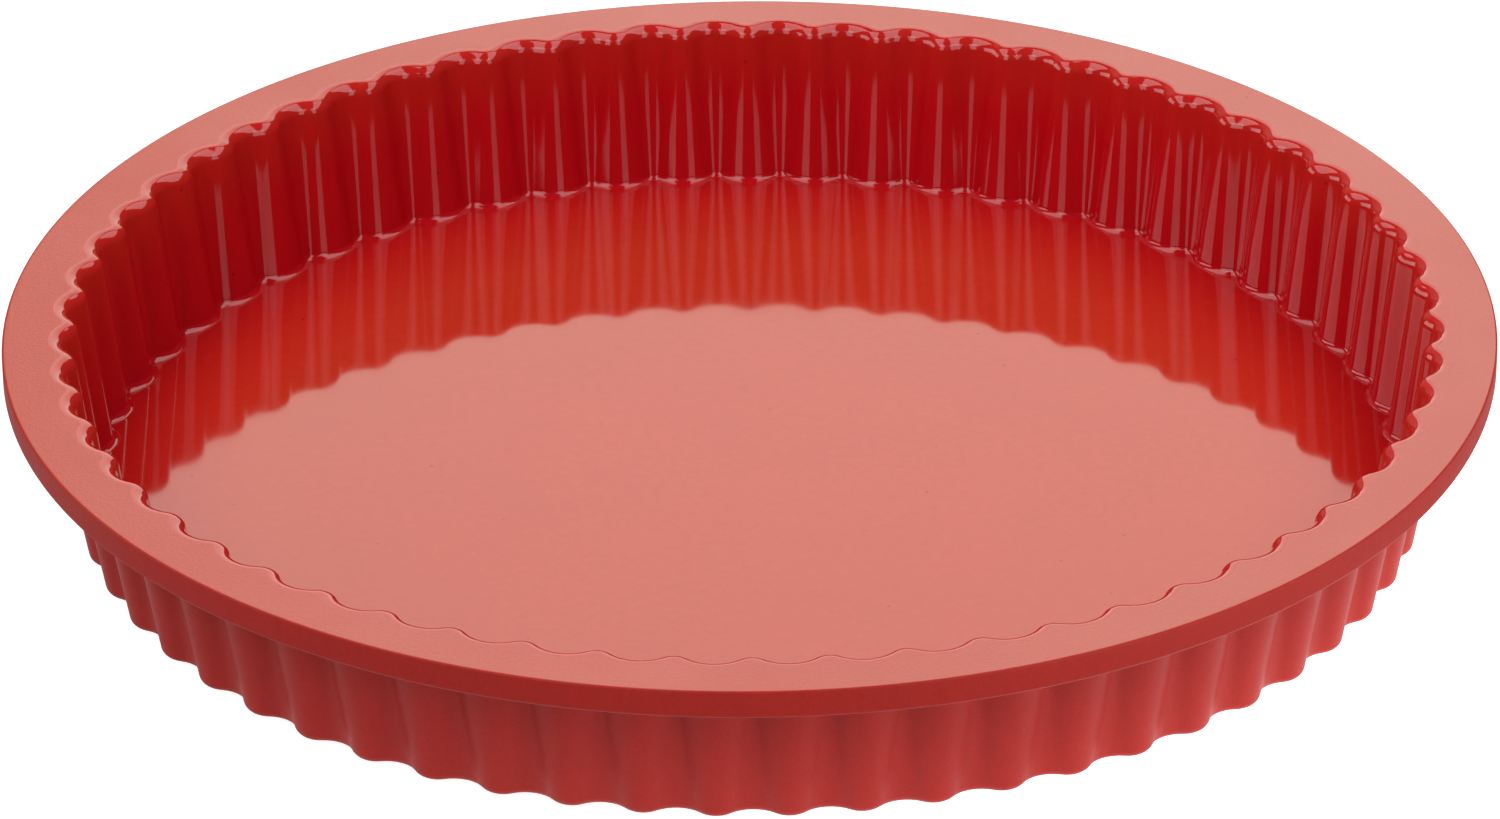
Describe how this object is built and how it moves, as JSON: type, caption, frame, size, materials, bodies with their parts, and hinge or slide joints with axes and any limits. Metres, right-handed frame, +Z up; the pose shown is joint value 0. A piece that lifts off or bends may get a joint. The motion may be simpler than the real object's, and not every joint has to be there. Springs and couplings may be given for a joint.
{
  "type": "fluted flan mould",
  "caption": "Round one-piece silicone flan mould with a flat floor, low fluted sloping wall and broad flat rim.",
  "frame": {"origin": "centre of the base's underside, on the surface the mould stands on", "axes": "+Z up along the mould's round axis; +X and +Y level, each through a crest between two flutes"},
  "size_m": [0.3, 0.3, 0.0358],
  "materials": {
    "red_silicone": "red silicone rubber, polished inside and satin on the rim and outside"
  },
  "bodies": {
    "root": {"flan_mould": "red_silicone"}
  },
  "joints": []
}
